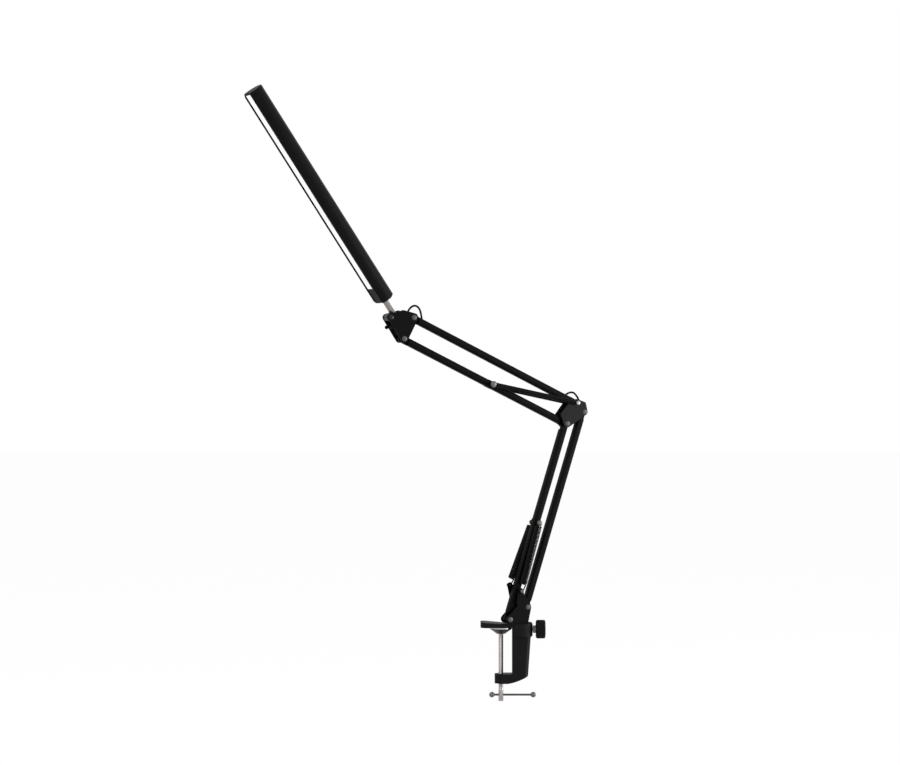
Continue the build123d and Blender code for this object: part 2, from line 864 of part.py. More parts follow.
with BuildPart() as neck_cap:
    with BuildSketch(head_plane):
        flatted(bar_radius, flat_offset)
    extrude(amount=neck_cap_length)
    chamfer(neck_cap.faces().sort_by(Axis(arm_at(neck_end), head_plane.z_dir))[0].edges(), neck_cap_bevel)
    with BuildSketch(head_plane):
        Circle(rod_diameter / 2 + running_gap)
    extrude(amount=neck_cap_length, mode=Mode.SUBTRACT)
save(neck_cap, "neck_cap")


def slot_strip(name, start, length):
    """A T-section strip that fills the head's slot, with its flange inside the wall."""
    with BuildPart() as strip:
        with BuildSketch(head_plane.offset(start)):
            with Locations((0, running_gap / 2 - flat_offset + bar_wall / 2)):
                Rectangle(slot_width - 2 * slot_gap, bar_wall + running_gap)
            with Locations((0, running_gap - flat_inside + flange_thickness / 2)):
                Rectangle(flange_width, flange_thickness)
        extrude(amount=length)
    save(strip, name)


diffuser_start = neck_cap_length + blank_length
slot_strip("blank_panel", neck_cap_length + running_gap, blank_length - 2 * running_gap)
slot_strip("diffuser", diffuser_start, bar_end - diffuser_start - running_gap)

# Light source under the housing's web
with BuildPart() as led_board:
    with BuildSketch(head_plane.offset(diffuser_start)):
        with Locations((0, -running_gap - board_thickness / 2)):
            Rectangle(board_width, board_thickness)
    extrude(amount=bar_end - diffuser_start - running_gap)
save(led_board, "led_board")

chip_pitch = (bar_end - diffuser_start) / chip_count
board_face = -running_gap - board_thickness
with BuildPart() as led_chips:
    for index in range(chip_count):
        with BuildSketch(head_plane.offset(diffuser_start + (index + 0.5) * chip_pitch - chip_size / 2)):
            with Locations((0, board_face - running_gap - chip_height / 2)):
                Rectangle(chip_size, chip_height)
        extrude(amount=chip_size)
save(led_chips, "led_chips")
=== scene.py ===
"""Looks of a spring-balanced desk lamp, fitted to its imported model.

Finishes, wound springs, square arm tubes, cable loops, domed rivets, the head's trim, the clamp's
thread, balls and knurling, and a plain studio round it all. Pieces are given in millimetres.
"""
import json
from math import asin, atan2, copysign, cos, pi, radians, sin

import bmesh
import bpy
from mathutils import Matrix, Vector


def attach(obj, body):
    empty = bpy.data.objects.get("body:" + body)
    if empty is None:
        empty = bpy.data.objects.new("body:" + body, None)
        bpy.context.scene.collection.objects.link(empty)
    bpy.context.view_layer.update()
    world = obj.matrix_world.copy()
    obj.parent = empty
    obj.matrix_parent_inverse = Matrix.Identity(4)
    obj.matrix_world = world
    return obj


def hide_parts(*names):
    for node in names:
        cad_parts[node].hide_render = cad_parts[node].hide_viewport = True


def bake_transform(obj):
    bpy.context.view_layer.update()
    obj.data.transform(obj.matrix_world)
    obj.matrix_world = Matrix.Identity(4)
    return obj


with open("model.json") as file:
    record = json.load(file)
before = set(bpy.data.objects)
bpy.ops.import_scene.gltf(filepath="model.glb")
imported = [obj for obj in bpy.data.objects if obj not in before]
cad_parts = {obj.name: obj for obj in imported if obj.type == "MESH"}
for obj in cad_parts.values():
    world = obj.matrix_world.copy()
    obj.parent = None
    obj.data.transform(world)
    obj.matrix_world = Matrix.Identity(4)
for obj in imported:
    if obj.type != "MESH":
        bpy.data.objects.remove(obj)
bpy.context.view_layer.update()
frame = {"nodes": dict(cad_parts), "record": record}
nodes = frame["nodes"]
MM = 0.001

# The linkage, as in the model, from the post's axis: points, and links as (length, angle)
POST_REACH = 28.5
ARM_TURN = radians(27.0)
FRONT_BASE = (-22.0, 12.2)
LOWER_ARM = (291.6, 71.4)
ELBOW_LINK = (33.1, 63.0)
UPPER_ARM = (285.2, 155.3)
TILT_LINK = (35.3, 180.0)
BASE_LINK = (33.0, 29.8)
ARM_X = Vector((cos(ARM_TURN), sin(ARM_TURN), 0))
NEAR = Vector((sin(ARM_TURN), -cos(ARM_TURN), 0))
UP = Vector((0, 0, 1))
SIDES = {"near": 1, "far": -1}


def step(point, link):
    """The point at the end of a (length, angle) link from another, in the arm plane."""
    length, angle = link
    return (
        point[0] + length * cos(radians(angle)),
        point[1] + length * sin(radians(angle)),
    )


def arm_at(point, depth=0.0):
    """A point of the arm plane at a depth towards the viewer, in metres in the lamp's frame."""
    place = Vector((POST_REACH, 0, 0)) + ARM_X * point[0] + UP * point[1] + NEAR * depth
    return place * MM


REAR_BASE = step(FRONT_BASE, BASE_LINK)
ELBOW = step(FRONT_BASE, LOWER_ARM)
REAR_ELBOW = step(REAR_BASE, LOWER_ARM)
TOP_ELBOW = step(ELBOW, ELBOW_LINK)
LOWER_HEAD = step(ELBOW, UPPER_ARM)
UPPER_HEAD = step(TOP_ELBOW, UPPER_ARM)
TILT = step(UPPER_HEAD, TILT_LINK)


# Materials: a broad cloud for gloss and colour, and a fine grain for relief
CLOUD_SCALE, CLOUD_DETAIL = 60.0, 6.0
GLOSS_SPREAD, LEAST_ROUGH = 0.08, 0.02
TINT_STOPS = ((0.3, 0.88), (0.7, 1.1))  # a place in the cloud's range, and the colour's share there
GRAIN_DETAIL = 3.0
GRAIN_DEPTH = 0.0002


def material(
    name, color, rough, metal=0.0, grain=900.0, grain_bump=0.05, emit=0.0, shine=0.5
):
    """A finish with fine grain in its relief and slight cloudiness in its gloss and colour."""
    made = bpy.data.materials.new(name)
    made.use_nodes = True
    tree = made.node_tree
    shader = tree.nodes["Principled BSDF"]
    shader.inputs["Metallic"].default_value = metal
    shader.inputs["Specular IOR Level"].default_value = shine
    place = tree.nodes.new("ShaderNodeTexCoord")
    cloud = tree.nodes.new("ShaderNodeTexNoise")
    cloud.inputs["Scale"].default_value = CLOUD_SCALE
    cloud.inputs["Detail"].default_value = CLOUD_DETAIL
    tree.links.new(place.outputs["Object"], cloud.inputs["Vector"])
    gloss = tree.nodes.new("ShaderNodeMapRange")
    gloss.inputs["To Min"].default_value = max(rough - GLOSS_SPREAD, LEAST_ROUGH)
    gloss.inputs["To Max"].default_value = rough + GLOSS_SPREAD
    tree.links.new(cloud.outputs["Fac"], gloss.inputs["Value"])
    tree.links.new(gloss.outputs["Result"], shader.inputs["Roughness"])
    tint = tree.nodes.new("ShaderNodeValToRGB")
    for stop, (position, share) in zip(tint.color_ramp.elements, TINT_STOPS):
        stop.position = position
        stop.color = (*[min(part * share, 1.0) for part in color], 1)
    tree.links.new(cloud.outputs["Fac"], tint.inputs["Fac"])
    tree.links.new(tint.outputs["Color"], shader.inputs["Base Color"])
    fine = tree.nodes.new("ShaderNodeTexNoise")
    fine.inputs["Scale"].default_value = grain
    fine.inputs["Detail"].default_value = GRAIN_DETAIL
    tree.links.new(place.outputs["Object"], fine.inputs["Vector"])
    bump = tree.nodes.new("ShaderNodeBump")
    bump.inputs["Strength"].default_value = grain_bump
    bump.inputs["Distance"].default_value = GRAIN_DEPTH
    tree.links.new(fine.outputs["Fac"], bump.inputs["Height"])
    tree.links.new(bump.outputs["Normal"], shader.inputs["Normal"])
    if emit:
        shader.inputs["Emission Color"].default_value = (1, 1, 1, 1)
        shader.inputs["Emission Strength"].default_value = emit
    return made


# The finish of each material slot
FINISHES = {
    "black_paint": material(
        "satin_black_paint", (0.002, 0.002, 0.002), 0.45, grain_bump=0.12, shine=0.05
    ),
    "rivet_steel": material(
        "plated_rivet", (0.085, 0.083, 0.076), 0.55, metal=1.0, grain=1500
    ),
    "chrome": material(
        "nickel_plate", (0.36, 0.325, 0.315), 0.2, metal=1.0, grain=1800, grain_bump=0.02
    ),
    "black_spring": material(
        "blacked_wire", (0.004, 0.004, 0.004), 0.45, grain=1400, shine=0.08
    ),
    "black_plastic": material(
        "moulded_black", (0.004, 0.004, 0.004), 0.5, grain=1200, grain_bump=0.2, shine=0.08
    ),
    "clamp_casting": material(
        "painted_casting", (0.009, 0.009, 0.01), 0.5, grain=420, grain_bump=0.3, shine=0.07
    ),
    "head_aluminium": material(
        "anodised_black", (0.002, 0.002, 0.002), 0.4, grain=1600, grain_bump=0.08, shine=0.09
    ),
    "diffuser": material("opal_diffuser", (0.93, 0.93, 0.92), 0.4, grain_bump=0.02, emit=0.35),
    "led_board": material("solder_mask", (0.75, 0.75, 0.72), 0.45),
    "led_chip": material("phosphor", (0.85, 0.72, 0.2), 0.4),
    "cable": material(
        "cable_sheath", (0.003, 0.003, 0.003), 0.4, grain=1100, grain_bump=0.1, shine=0.06
    ),
}

# Finishes of single pieces
BRIGHT_RIVET = material("polished_rivet", (0.36, 0.35, 0.34), 0.5, metal=1.0, grain=1500)
DARK_BOLT = material("blacked_bolt", (0.008, 0.008, 0.008), 0.2, grain=1500, shine=0.3)
# Steel darkened in its colour to stand in for the darker surroundings it reflects: a painted dark
# reflection, on the tommy bar and the lock screw
DARK_STEEL = material(
    "steel_painted_dark_reflection", (0.1, 0.09, 0.085), 0.2, metal=1.0, grain=1600, grain_bump=0.03
)
BALL_STEEL = material(
    "polished_ball", (0.135, 0.125, 0.12), 0.1, metal=1.0, grain=1600, grain_bump=0.03
)
ANCHOR_STEEL = material("dull_steel", (0.13, 0.127, 0.117), 0.5, metal=1.0, grain=1500)
NECK_STEEL = material(
    "brushed_steel", (0.24, 0.215, 0.205), 0.22, metal=1.0, grain=1700, grain_bump=0.03
)
BROWNED_STEEL = material(
    "browned_steel", (0.03, 0.026, 0.024), 0.4, grain=1300, grain_bump=0.05, shine=0.2
)
# Blued steel for the foot. Its colour is set by height below, with a painted highlight on the rim
# and painted shade on the underside
BLUED_STEEL_PAINTED_LIGHT = material(
    "blued_steel_painted_light", (0.03, 0.03, 0.03), 0.33, metal=1.0, grain=1200, grain_bump=0.06
)
SATIN_PLATE = material(
    "satin_plate", (0.007, 0.007, 0.007), 0.45, grain_bump=0.12, shine=0.1
)

# The foot's grey by height: a painted highlight on its rim, painted shade on its underside, and
# lighter again near the screw. Height and grey, from its lowest to its top
FOOT_LIGHT_AND_SHADE = [(-9.5, 0.2), (-8.0, 0.03), (-2.2, 0.025), (-1.7, 0.5), (-0.3, 0.5)]
STEEL_TINT = (1.0, 0.96, 0.92)


def banded(made, greys):
    """Colour a finish by height on its piece."""
    lowest, highest = greys[0][0], greys[-1][0]
    tree = made.node_tree
    shader = tree.nodes["Principled BSDF"]
    place = tree.nodes.new("ShaderNodeTexCoord")
    parts = tree.nodes.new("ShaderNodeSeparateXYZ")
    tree.links.new(place.outputs["Object"], parts.inputs["Vector"])
    share = tree.nodes.new("ShaderNodeMapRange")
    share.inputs["From Min"].default_value = lowest * MM
    share.inputs["From Max"].default_value = highest * MM
    tree.links.new(parts.outputs["Z"], share.inputs["Value"])
    bands = tree.nodes.new("ShaderNodeValToRGB")
    stops = bands.color_ramp.elements
    while len(stops) < len(greys):
        stops.new(0.5)
    for stop, (height, grey) in zip(stops, greys):
        stop.position = (height - lowest) / (highest - lowest)
        stop.color = (*[grey * part for part in STEEL_TINT], 1)
    tree.links.new(share.outputs["Result"], bands.inputs["Fac"])
    tree.links.new(bands.outputs["Color"], shader.inputs["Base Color"])


# Painted highlight on the foot's rim and painted shade on its underside, by height
banded(BLUED_STEEL_PAINTED_LIGHT, FOOT_LIGHT_AND_SHADE)
OWN_FINISHES = {
    "pressure_foot": BLUED_STEEL_PAINTED_LIGHT,
    "tommy_bar": DARK_STEEL,
    "lock_screw": DARK_STEEL,
    "neck_rod": NECK_STEEL,
    "neck_knuckle": BROWNED_STEEL,
    "spring_stud_near": FINISHES["rivet_steel"],
    "spring_stud_far": FINISHES["rivet_steel"],
    "elbow_plate_near": SATIN_PLATE,
    "elbow_plate_far": SATIN_PLATE,
}
slots = {entry["node"]: entry["material_slot"] for entry in frame["record"]["subparts"]}


def dress(piece, slot, finish=None):
    """Give a new piece its material slot, and a finish of its own or the slot's."""
    piece.data.materials.clear()
    piece.data.materials.append(finish or FINISHES[slot])


for node, piece in nodes.items():
    for place in piece.material_slots:
        place.material = OWN_FINISHES.get(node, FINISHES[slots[node]])


# Mesh helpers
def add_mesh(name, rings, ring_shaped=False):
    """A smooth mesh through rings of as many points each, closed at its ends or into a ring."""
    shape = bmesh.new()
    rows = [[shape.verts.new(point) for point in ring] for ring in rings]
    count = len(rows[0])
    for one, two in zip(rows, rows[1:] + (rows[:1] if ring_shaped else [])):
        for index in range(count):
            after = (index + 1) % count
            shape.faces.new((one[index], one[after], two[after], two[index]))
    if not ring_shaped:
        shape.faces.new(list(reversed(rows[0])))
        shape.faces.new(rows[-1])
    bmesh.ops.recalc_face_normals(shape, faces=shape.faces)
    mesh = bpy.data.meshes.new(name)
    shape.to_mesh(mesh)
    shape.free()
    for face in mesh.polygons:
        face.use_smooth = len(face.vertices) == 4
    piece = bpy.data.objects.new(name, mesh)
    bpy.context.scene.collection.objects.link(piece)
    return piece


def circle(sides):
    """The angles of points round a circle."""
    return [2 * pi * k / sides for k in range(sides)]


def tube_rings(path, radius, sides):
    """Rings of a round tube along points, with its section carried along without twist."""
    last = len(path) - 1
    ways = [
        (path[min(i + 1, last)] - path[max(i - 1, 0)]).normalized() for i in range(len(path))
    ]
    side = ways[0].orthogonal().normalized()
    rings = []
    for point, way in zip(path, ways):
        side = (side - way * side.dot(way)).normalized()
        other = way.cross(side)
        rings.append(
            [
                point + (side * cos(angle) + other * sin(angle)) * radius
                for angle in circle(sides)
            ]
        )
    return rings


def lathe(name, base, axis, profile, sides, ripple=None):
    """A turned piece: profile is (distance along the axis, radius)."""
    side = axis.orthogonal().normalized()
    other = axis.cross(side)
    rings = []
    for along, radius in profile:
        ring = []
        for angle in circle(sides):
            reach = radius + (ripple(angle, radius) if ripple else 0.0)
            spoke = (side * cos(angle) + other * sin(angle)) * reach
            ring.append(base + (axis * along + spoke) * MM)
        rings.append(ring)
    return add_mesh(name, rings)


# Springs: diameters of coil and wire, turns, and each end's plain length and stud diameter
LOWER_SPRING = dict(
    coil=10.4, wire=1.8, turns=45, low_end=10.0, high_end=5.5, low_stud=3.0, high_stud=3.0
)
UPPER_SPRING = dict(
    coil=6.6, wire=1.4, turns=85, low_end=4.6, high_end=9.0, low_stud=3.0, high_stud=4.0
)
COIL_STEPS = 18
HOOK_STEPS = 12
WIRE_SIDES = 8
HOOK_PLAY = 0.3
LEAD_SHARES = (0.25, 0.5, 0.75)


def half_ring(middle, across, along, radius):
    """Points of a hook round a stud, from one side to the other."""
    turns = [pi * k / HOOK_STEPS for k in range(HOOK_STEPS + 1)]
    return [middle + (across * cos(turn) + along * sin(turn)) * radius for turn in turns]


def spring(low, high, depth, coil, wire, turns, low_end, high_end, low_stud, high_stud):
    """The rings of a tension spring with a hook round the stud at each end, and its ends."""
    bottom, top = arm_at(low, depth), arm_at(high, depth)
    along = (top - bottom).normalized()
    across = along.cross(NEAR)
    facing = along.cross(across)
    coil_radius = (coil - wire) / 2 * MM
    length = (top - bottom).length - (low_end + high_end) * MM
    low_hook = (low_stud / 2 + HOOK_PLAY + wire / 2) * MM
    high_hook = (high_stud / 2 + HOOK_PLAY + wire / 2) * MM
    foot = bottom + along * low_end * MM
    path = half_ring(bottom, across, along, -low_hook)
    for share in LEAD_SHARES:
        reach = low_hook + (coil_radius - low_hook) * share * share
        path.append(bottom + across * reach + along * low_end * MM * share)
    for k in range(turns * COIL_STEPS + 1):
        angle = 2 * pi * k / COIL_STEPS
        spoke = across * cos(angle) + facing * sin(angle)
        path.append(foot + spoke * coil_radius + along * length * k / (turns * COIL_STEPS))
    for share in reversed(LEAD_SHARES):
        reach = high_hook + (coil_radius - high_hook) * share * share
        path.append(top + across * reach - along * high_end * MM * share)
    path += half_ring(top, across, along, high_hook)
    return tube_rings(path, wire / 2 * MM, WIRE_SIDES), bottom, top


def place_of(ring, bottom, top):
    """How far along the spring a ring of its wire lies, as a share."""
    middle = sum(ring, Vector()) / len(ring)
    return (middle - bottom).dot(top - bottom) / (top - bottom).length_squared


# Where a lower spring is split into its three pieces, as shares of its length
SPRING_CUTS = (0.1, 0.35)
SPRING_PIECES = ("hook", "foot", "body")


def add_straight_spring(name, node, rings, bottom, top):
    """Three pieces of one spring, split where its wire passes the cuts."""
    shares = [place_of(ring, bottom, top) for ring in rings]
    cut_rows = [next(i for i, share in enumerate(shares) if share >= cut) for cut in SPRING_CUTS]
    rows = [0, *cut_rows, len(rings) - 1]
    for index, label in enumerate(SPRING_PIECES):
        made = add_mesh(f"{name}_{label}", rings[rows[index] : rows[index + 1] + 1])
        dress(made, "black_spring")
        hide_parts(node)
        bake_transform(made)


# A lower spring reaches from an ear of the base to a band on the front tube
BASE_EARS = {"near": (-5.3, 52.3), "far": (-13.2, 59.5)}
LOWER_REACH, LOWER_DEPTH = 143.0, 11.3
LOWER_HOOK = step(FRONT_BASE, (LOWER_REACH, LOWER_ARM[1]))
for label, side in SIDES.items():
    rings, start, end = spring(BASE_EARS[label], LOWER_HOOK, side * LOWER_DEPTH, **LOWER_SPRING)
    add_straight_spring(
        f"lower_coil_{label}",
        f"lower_spring_{label}",
        rings,
        start,
        end,
    )

# An upper spring reaches from a band on the upper arm's lower tube to the elbow's top pivot
UPPER_REACH, UPPER_DEPTH = 134.4, 13.0
UPPER_HOOK = step(ELBOW, (UPPER_REACH, UPPER_ARM[1]))
for label, side in SIDES.items():
    rings, start, end = spring(UPPER_HOOK, TOP_ELBOW, side * UPPER_DEPTH, **UPPER_SPRING)
    made = add_mesh(f"upper_coil_{label}", rings)
    dress(made, "black_spring")
    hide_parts(f"upper_spring_{label}")
    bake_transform(made)


# Arm tubes: a square tube with rounded edges over the straight length of each round one
TUBE_HALF, TUBE_BORE = 5.1, 5.02
LOWER_EDGE, UPPER_EDGE = 2.2, 3.2
TUBE_ENDS = 10.0
EDGE_STEPS = 5
END_BEVEL = 0.3


def rounded_square(half, edge):
    """Points round a square with rounded corners."""
    points = []
    for corner in range(4):
        middle = pi / 4 + corner * pi / 2
        for k in range(EDGE_STEPS + 1):
            angle = pi / 2 * (corner + k / EDGE_STEPS)
            points.append(
                (
                    copysign(half - edge, cos(middle)) + edge * cos(angle),
                    copysign(half - edge, sin(middle)) + edge * sin(angle),
                )
            )
    return points


def round_bore(edge):
    """Points round the bore of a square tube, one behind each of its outside."""
    turns = [atan2(v, u) for u, v in rounded_square(TUBE_HALF, edge)]
    return [(TUBE_BORE * cos(turn), TUBE_BORE * sin(turn)) for turn in turns]


def sleeve(name, body, foot, angle, begin, end, half, edge, bore):
    """A square tube along a link of the arm, round a bore of as many points."""
    way = ARM_X * cos(radians(angle)) + UP * sin(radians(angle))
    across = way.cross(NEAR)
    outer = rounded_square(half, edge)
    inner = rounded_square(half - END_BEVEL, edge - END_BEVEL)
    sections = [
        (begin, bore),
        (begin, inner),
        (begin + END_BEVEL, outer),
        (begin + 2 * END_BEVEL, outer),
        (end - 2 * END_BEVEL, outer),
        (end - END_BEVEL, outer),
        (end, inner),
        (end, bore),
    ]
    rings = [
        [arm_at(foot) + (way * along + across * u + NEAR * v) * MM for u, v in section]
        for along, section in sections
    ]
    made = add_mesh(name, rings, ring_shaped=True)
    dress(made, "black_paint")
    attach(made, body)
    return made


for body, foot, (length, angle), edge in (
    ("lower_front", FRONT_BASE, LOWER_ARM, LOWER_EDGE),
    ("lower_rear", REAR_BASE, LOWER_ARM, LOWER_EDGE),
    ("upper_top", TOP_ELBOW, UPPER_ARM, UPPER_EDGE),
    ("upper_bottom", ELBOW, UPPER_ARM, UPPER_EDGE),
):
    end = length - TUBE_ENDS
    bore = round_bore(edge)
    sleeve(f"{body}_square", body, foot, angle, TUBE_ENDS, end, TUBE_HALF, edge, bore)


# Cable loops: routes from the pivot that each goes over
CABLE_DIAMETER = 2.8
CABLE_SIDES = 14
LINE_STEPS = 12
HEAD_ROUTE = [
    (-8.6, 2.8),
    (-5.4, 9.6),
    (0.0, 15.4),
    (6.2, 17.2),
    (11.6, 13.6),
    (14.6, 7.0),
    (16.2, -3.6),
]
ELBOW_ROUTE = [
    (-14.5, 11.0),
    (-9.5, 13.9),
    (-4.5, 15.2),
    (0.0, 14.6),
    (4.0, 11.0),
    (7.6, 6.2),
    (11.0, -1.6),
]


def smooth_line(points):
    """Points of the smooth spline that has a route's points as its control points."""
    curve = bpy.data.curves.new("route", "CURVE")
    curve.dimensions = "3D"
    spline = curve.splines.new("NURBS")
    spline.points.add(len(points) - 1)
    for place, point in zip(spline.points, points):
        place.co = (*point, 1)
    spline.order_u = 3
    spline.use_endpoint_u = True
    spline.resolution_u = LINE_STEPS
    holder = bpy.data.objects.new("route", curve)
    bpy.context.scene.collection.objects.link(holder)
    bpy.context.view_layer.update()
    graph = bpy.context.evaluated_depsgraph_get()
    mesh = bpy.data.meshes.new_from_object(holder.evaluated_get(graph))
    line = [vertex.co.copy() for vertex in mesh.vertices]
    bpy.data.objects.remove(holder)
    bpy.data.meshes.remove(mesh)
    return line


def cable(name, node, pivot, route):
    """A cable loop over a pivot, between two bodies that one joint joins."""
    line = smooth_line([arm_at((pivot[0] + u, pivot[1] + v)) for u, v in route])
    made = add_mesh(name, tube_rings(line, CABLE_DIAMETER / 2 * MM, CABLE_SIDES))
    dress(made, "cable")
    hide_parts(node)
    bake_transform(made)


cable("head_loop", "head_cable", UPPER_HEAD, HEAD_ROUTE)
cable("elbow_loop", "elbow_cable", TOP_ELBOW, ELBOW_ROUTE)


# Rivets and bolts with domed heads. A turned piece ends in a very small circle, not a point
TIP_RADIUS = 0.05
DOME_STEPS = 6
HEAD_RISE = 0.3
SHANK_RADIUS = 2.0
RIVET_SIDES = 32


def dome(base, head, rise):
    """The profile of a domed head, from its rim to its middle."""
    turns = [pi / 2 * k / DOME_STEPS for k in range(DOME_STEPS + 1)]
    return [(base + rise * sin(turn), max(head * cos(turn), TIP_RADIUS)) for turn in turns]


def rivet(node, body, pivot, outside, head, finish):
    """A headed pin whose two heads are domed, in place of a plain one."""
    half = [(outside, SHANK_RADIUS)] + dome(outside, head, head * HEAD_RISE)
    profile = [(-along, radius) for along, radius in reversed(half)] + half
    made = lathe(f"{node}_domed", arm_at(pivot), NEAR, profile, RIVET_SIDES)
    dress(made, "rivet_steel", finish)
    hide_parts(node)
    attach(made, body)


# Node, body, pivot, distance of the heads from the arm plane, head radius, own finish
RIVETS = [
    ("base_front_pin", "base", FRONT_BASE, 9.5, 4.0, None),
    ("base_rear_pin", "base", REAR_BASE, 9.5, 4.0, None),
    ("elbow_pin", "elbow", ELBOW, 9.0, 4.0, None),
    ("elbow_rear_pin", "elbow", REAR_ELBOW, 9.0, 4.0, None),
    ("elbow_top_pin", "elbow", TOP_ELBOW, 14.0, 3.1, BRIGHT_RIVET),
    ("head_upper_pin", "head_bracket", UPPER_HEAD, 9.0, 4.0, None),
    ("head_lower_pin", "head_bracket", LOWER_HEAD, 9.0, 4.0, None),
    ("tilt_bolt", "head_bracket", TILT, 9.0, 3.6, DARK_BOLT),
]
for row in RIVETS:
    rivet(*row)

# Spring anchors: a band round a square tube, and a stud out to the spring on each side
BAND_REACH = 4.5
BAND_FIT = 0.02
STUD_ROOT, STUD_RADIUS = 5.3, 1.5
STUD_RISE = 2.0
STUD_SIDES = 28


def anchor(node, body, place, angle, edge, wall, outside, heads):
    """A black band round a tube with bright studs on it, in place of a one-coloured one."""
    band = sleeve(
        f"{node}_band",
        body,
        place,
        angle,
        -BAND_REACH,
        BAND_REACH,
        TUBE_HALF + wall,
        edge + wall,
        rounded_square(TUBE_HALF + BAND_FIT, edge + BAND_FIT),
    )
    pieces = [band]
    shank = [(STUD_ROOT, TIP_RADIUS), (STUD_ROOT, STUD_RADIUS), (outside, STUD_RADIUS)]
    for label, side in SIDES.items():
        profile = shank + dome(outside, heads[label], STUD_RISE)
        stud = lathe(
            f"{node}_stud_{label}", arm_at(place), NEAR * side, profile, STUD_SIDES
        )
        dress(stud, "rivet_steel", ANCHOR_STEEL)
        pieces.append(stud)
        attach(stud, body)
    for piece in pieces:
        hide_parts(node)


anchor(
    "lower_spring_anchor",
    "lower_front",
    LOWER_HOOK,
    LOWER_ARM[1],
    LOWER_EDGE,
    wall=0.8,
    outside=12.5,
    heads={"near": 4.0, "far": 3.4},
)
anchor(
    "upper_spring_anchor",
    "upper_bottom",
    UPPER_HOOK,
    UPPER_ARM[1],
    UPPER_EDGE,
    wall=0.4,
    outside=14.0,
    heads={"near": 4.7, "far": 2.3},
)

# Head: its axes, its ends, and the housing's flat with the diffuser's slot in it
HEAD_ANGLE = radians(125.2)
HEAD_ALONG = ARM_X * cos(HEAD_ANGLE) + UP * sin(HEAD_ANGLE)
HEAD_ACROSS = HEAD_ALONG.cross(NEAR)
NECK_FACE, TIP_FACE = 490.2, 824.6
FLAT_LEVEL, SLOT_FLOOR = 101.73, 104.58
FLAT_FAR, SLOT_FAR, SLOT_NEAR, FLAT_NEAR = 1.95, 3.9, 21.98, 23.93
LIP_STEPS = 10
LIP_ROUNDING = 0.6
FAR_LIP, NEAR_LIP = 1.3, 0.4


def head_at(along, across, near):
    """A point by its distances along the head's own axes from the frame's origin."""
    return (HEAD_ALONG * along + HEAD_ACROSS * across + NEAR * near) * MM


def lip(label, far, near, rise):
    """A rounded bead of the housing along one side of the diffuser."""
    middle, half = (far + near) / 2, (near - far) / 2
    turns = [pi * k / LIP_STEPS for k in range(LIP_STEPS + 1)]
    section = [(half * cos(turn), rise * sin(turn) ** LIP_ROUNDING) for turn in turns]
    rings = [
        [head_at(along, FLAT_LEVEL - out, middle + side) for side, out in section]
        for along in (NECK_FACE, TIP_FACE)
    ]
    made = add_mesh(f"housing_lip_{label}", rings)
    dress(made, "head_aluminium")
    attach(made, "head")


lip("far", FLAT_FAR, SLOT_FAR, FAR_LIP)
lip("near", SLOT_NEAR, FLAT_NEAR, NEAR_LIP)

# The blank panel's outline along the head: its body in the slot, then its skin over the diffuser
BLANK_END, SKIN_END, SKIN = 500.4, 510.5, 0.3
PANEL_PLAY, SKIN_GAP = 0.1, 0.02
SKIN_BEVEL, NECK_BEVEL = 0.1, 0.2
PANEL_START = NECK_FACE + PANEL_PLAY
SKIN_LEVEL = FLAT_LEVEL - SKIN
BLANK_OUTLINE = [
    (PANEL_START, SLOT_FLOOR - PANEL_PLAY),
    (BLANK_END, SLOT_FLOOR - PANEL_PLAY),
    (BLANK_END, FLAT_LEVEL - SKIN_GAP),
    (SKIN_END, FLAT_LEVEL - SKIN_GAP),
    (SKIN_END, SKIN_LEVEL + SKIN_BEVEL),
    (SKIN_END - SKIN_BEVEL, SKIN_LEVEL),
    (PANEL_START + NECK_BEVEL, SKIN_LEVEL),
    (PANEL_START, SKIN_LEVEL + NECK_BEVEL),
]
PANEL_SIDES = (SLOT_FAR + PANEL_PLAY, SLOT_NEAR - PANEL_PLAY)
made = add_mesh(
    "blank_panel_skinned",
    [[head_at(*point, near) for point in BLANK_OUTLINE] for near in PANEL_SIDES],
)
for face in made.data.polygons:
    face.use_smooth = False
dress(made, "black_plastic")
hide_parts("blank_panel")
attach(made, "head")

# Clamp screw: its height from the tip to the foot, with a thread between plain ends
SCREW_RADIUS = 3.5
SCREW_SIDES = 24
SCREW_TIP, SCREW_TOP = -104.7, -3.6
TIP_BEVEL = 0.5
THREAD_LOW, THREAD_HIGH = -88.0, -10.0
THREAD_DEPTH = 0.35
PITCH = 1.5
PITCH_STEPS = 6
RUN_OUT = 1.0


def thread_depth(height, turn):
    """How deep the thread cuts at a height, at a share of a turn round the screw."""
    if not THREAD_LOW <= height <= THREAD_HIGH:
        return 0.0
    wave = (height / PITCH - turn) % 1.0
    return THREAD_DEPTH * abs(2 * wave - 1)


def screw():
    """The threaded clamp screw, with a plain end where the tommy bar passes through."""
    rows = int((THREAD_HIGH - THREAD_LOW) / (PITCH / PITCH_STEPS))
    heights = [SCREW_TIP, SCREW_TIP + TIP_BEVEL, THREAD_LOW - 2 * RUN_OUT, THREAD_LOW - RUN_OUT]
    heights += [THREAD_LOW + (THREAD_HIGH - THREAD_LOW) * k / rows for k in range(rows + 1)]
    heights += [THREAD_HIGH + RUN_OUT, SCREW_TOP]
    rings = []
    for height in heights:
        bevel = TIP_BEVEL if height == SCREW_TIP else 0.0
        ring = []
        for k, angle in enumerate(circle(SCREW_SIDES)):
            reach = SCREW_RADIUS - thread_depth(height, k / SCREW_SIDES) - bevel
            ring.append(Vector((reach * cos(angle), reach * sin(angle), height)) * MM)
        rings.append(ring)
    made = add_mesh("clamp_screw_threaded", rings)
    dress(made, "chrome")
    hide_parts("clamp_screw")
    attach(made, "screw")


screw()

